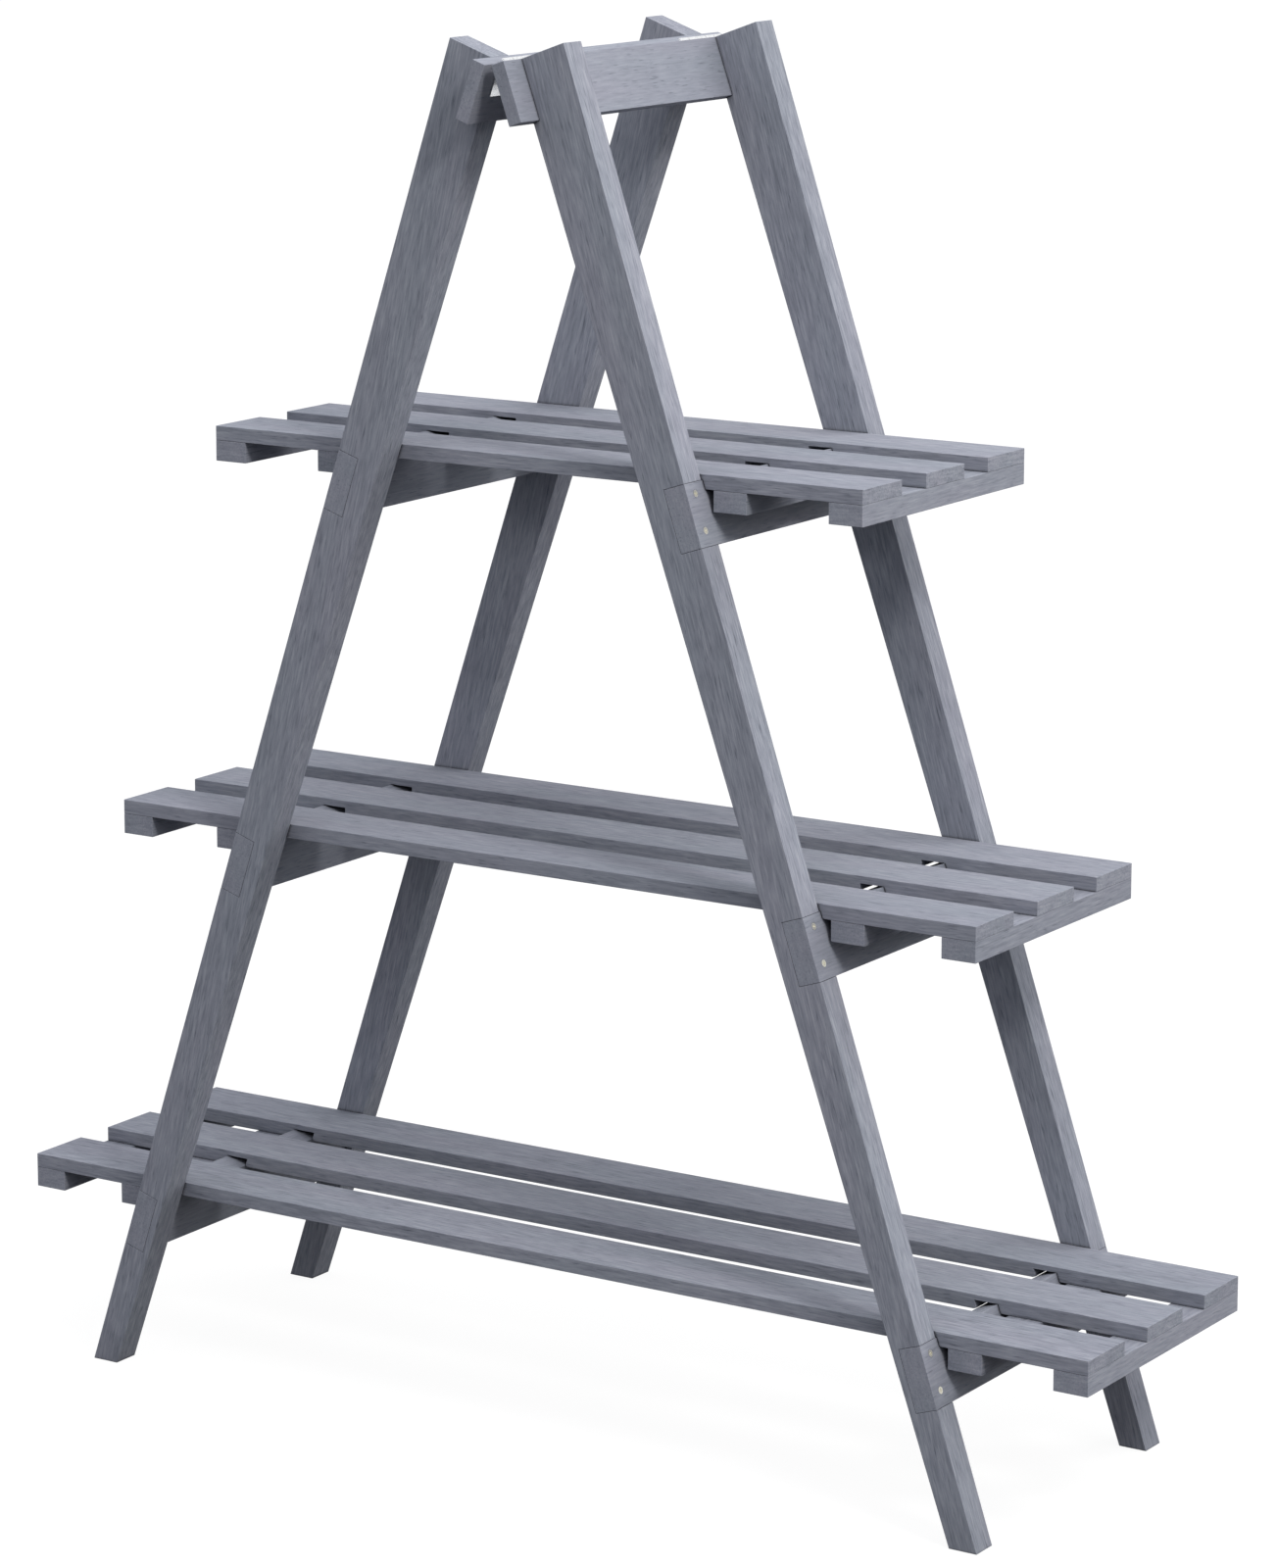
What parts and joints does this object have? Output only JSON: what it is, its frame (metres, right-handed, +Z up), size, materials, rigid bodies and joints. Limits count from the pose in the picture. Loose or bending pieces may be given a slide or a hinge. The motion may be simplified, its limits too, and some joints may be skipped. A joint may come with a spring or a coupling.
{
  "type": "plant ladder stand",
  "caption": "A-frame plant stand: timber ladders hinged together at the top, with slatted shelves, longer towards the floor, that seat over the rungs and lift off.",
  "frame": {"origin": "on the floor, at the centre of the footprint", "axes": "+Z up, X along the shelves with +X to the right seen from the front, -Y towards the front"},
  "size_m": [1.2, 0.4176, 1.338],
  "materials": {
    "stained_wood": "blue-grey stain, fine straight grain, matt",
    "screw_steel": "pale zinc plate",
    "hinge_steel": "bright zinc plate"
  },
  "bodies": {
    "left_ladder": {"leg_front_left": "stained_wood", "leg_back_left": "stained_wood", "rail_left": "stained_wood", "rung_top_left": "stained_wood", "rung_middle_left": "stained_wood", "rung_bottom_left": "stained_wood", "rung_screws_left": "screw_steel", "rail_screws_left": "screw_steel", "hinge_screws_left": "hinge_steel", "leaf_front_left": "hinge_steel", "leaf_back_left": "hinge_steel", "pin_front": "hinge_steel", "pin_back": "hinge_steel"},
    "right_ladder": {"leg_front_right": "stained_wood", "leg_back_right": "stained_wood", "rail_right": "stained_wood", "rung_top_right": "stained_wood", "rung_middle_right": "stained_wood", "rung_bottom_right": "stained_wood", "rung_screws_right": "screw_steel", "rail_screws_right": "screw_steel", "hinge_screws_right": "hinge_steel", "leaf_front_right": "hinge_steel", "leaf_back_right": "hinge_steel"},
    "shelf_top": {"slat_top_front": "stained_wood", "slat_top_centre": "stained_wood", "slat_top_back": "stained_wood", "batten_top_end_left": "stained_wood", "batten_top_inner_left": "stained_wood", "batten_top_inner_right": "stained_wood", "batten_top_end_right": "stained_wood", "screws_top": "screw_steel"},
    "shelf_middle": {"slat_middle_front": "stained_wood", "slat_middle_centre": "stained_wood", "slat_middle_back": "stained_wood", "batten_middle_end_left": "stained_wood", "batten_middle_inner_left": "stained_wood", "batten_middle_inner_right": "stained_wood", "batten_middle_end_right": "stained_wood", "screws_middle": "screw_steel"},
    "shelf_bottom": {"slat_bottom_front": "stained_wood", "slat_bottom_centre": "stained_wood", "slat_bottom_back": "stained_wood", "batten_bottom_end_left": "stained_wood", "batten_bottom_inner_left": "stained_wood", "batten_bottom_inner_right": "stained_wood", "batten_bottom_end_right": "stained_wood", "screws_bottom": "screw_steel"}
  },
  "joints": [
    {"name": "fold", "type": "hinge", "parent": "left_ladder", "child": "right_ladder", "pos_m": [0, 0, 1.31886], "axis": [0, 1, 0], "range_deg": [0, 39]},
    {"name": "lift_top_shelf", "type": "slide", "parent": "left_ladder", "child": "shelf_top", "axis": [0, 0, 1], "range_m": [0, 0.06]},
    {"name": "lift_middle_shelf", "type": "slide", "parent": "left_ladder", "child": "shelf_middle", "axis": [0, 0, 1], "range_m": [0, 0.06]},
    {"name": "lift_bottom_shelf", "type": "slide", "parent": "left_ladder", "child": "shelf_bottom", "axis": [0, 0, 1], "range_m": [0, 0.06]}
  ]
}
